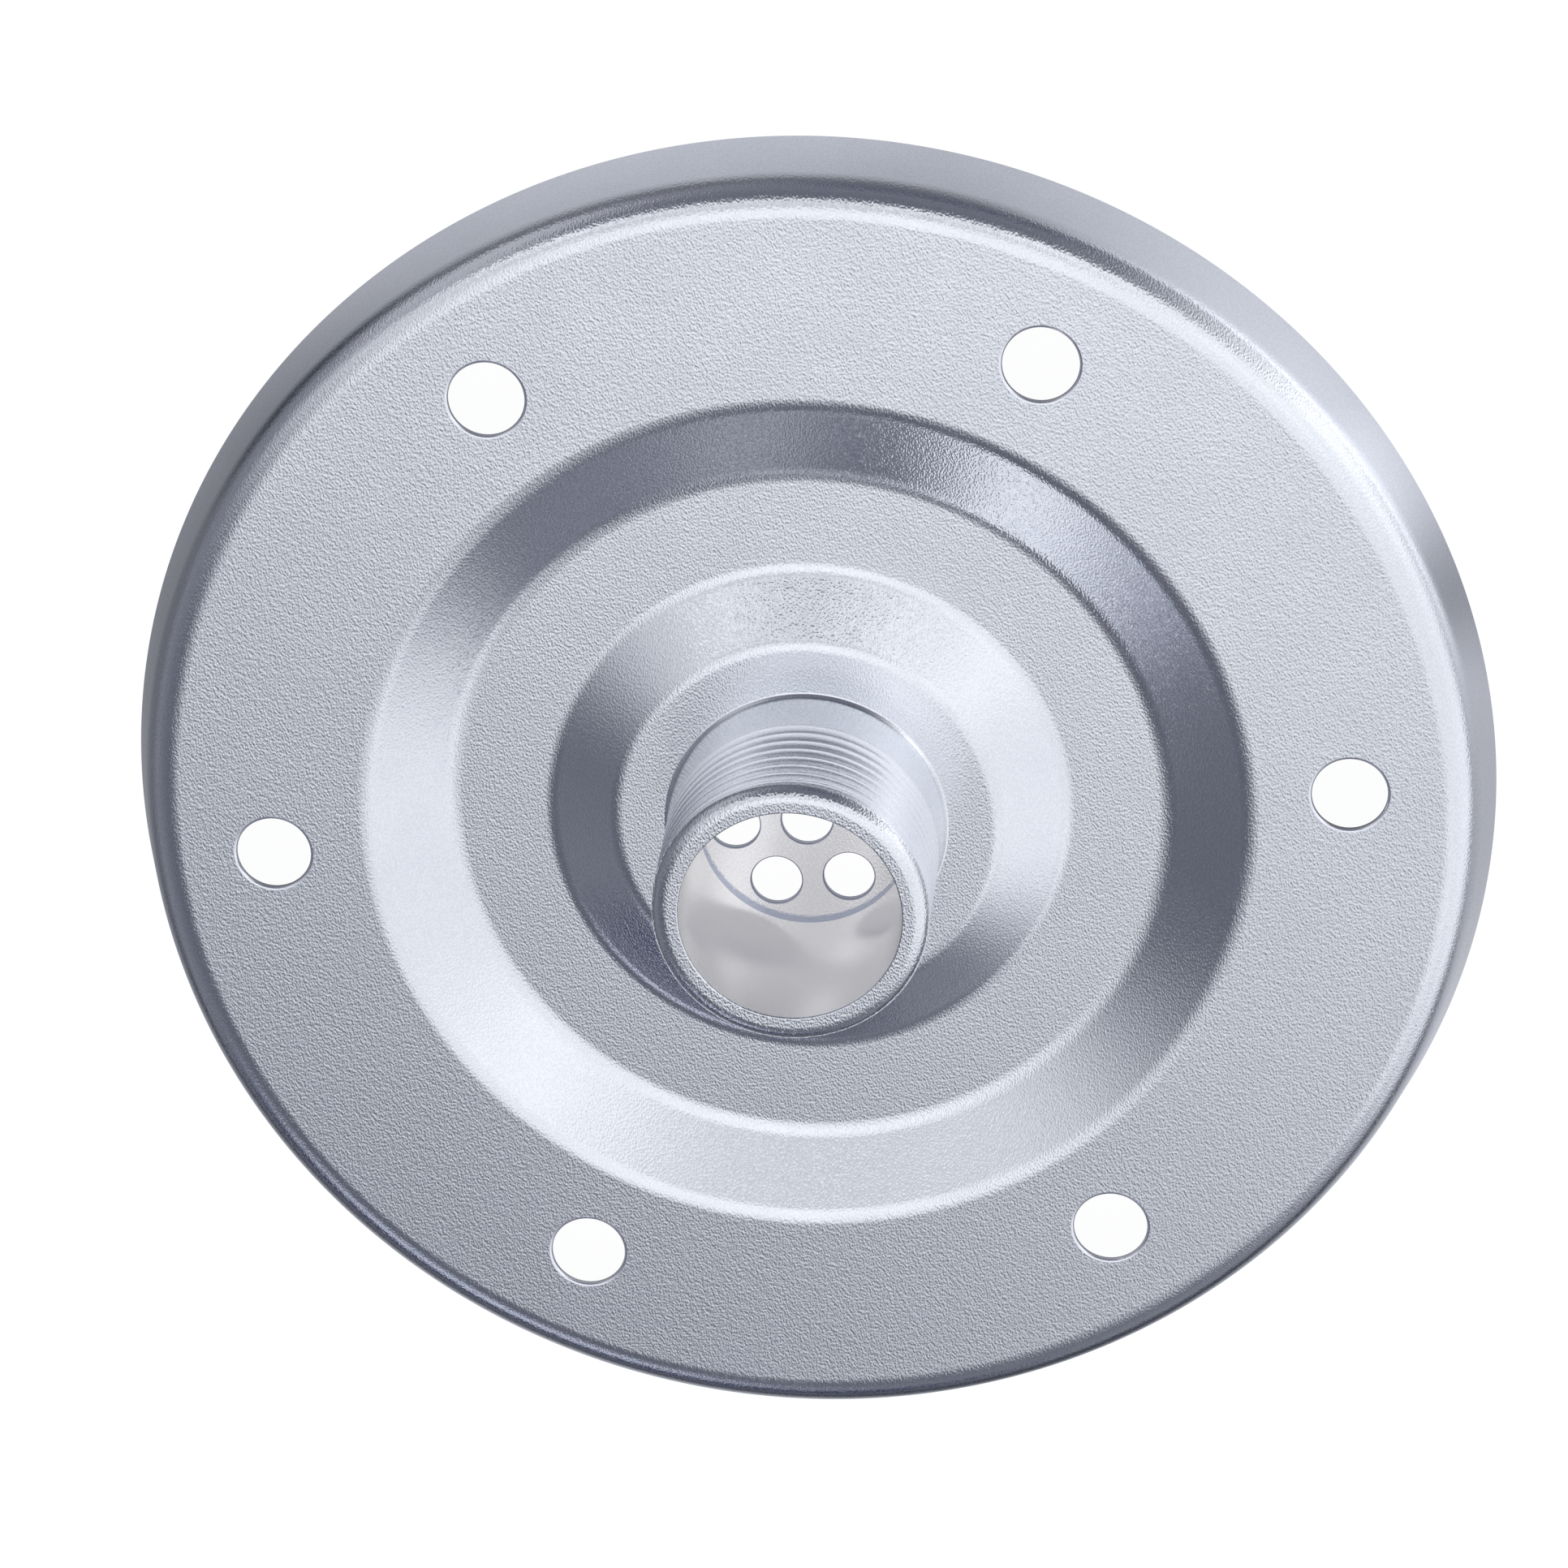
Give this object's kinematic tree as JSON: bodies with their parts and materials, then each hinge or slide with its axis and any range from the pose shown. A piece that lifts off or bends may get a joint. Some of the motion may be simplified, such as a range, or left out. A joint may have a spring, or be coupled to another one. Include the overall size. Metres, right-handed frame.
{
  "type": "tank flange",
  "caption": "Round pressed steel cover flange with a stepped face, a ring of bolt holes, a flared skirt and a threaded pipe nipple with a strainer at its foot.",
  "frame": {"origin": "on the nipple's axis, in the plane of the skirt's edge that the flange stands on", "axes": "+Z along the nipple towards its mouth, +X through one bolt hole"},
  "size_m": [0.1702, 0.1702, 0.0388],
  "materials": {
    "galvanised_plate": "galvanised, fine orange-peel",
    "galvanised_pipe": "galvanised, smooth outside and plain inside",
    "plain_steel_disc": "plain satin steel"
  },
  "bodies": {
    "root": {"flange_plate": "galvanised_plate", "threaded_nipple": "galvanised_pipe", "strainer_plate": "plain_steel_disc"}
  },
  "joints": []
}
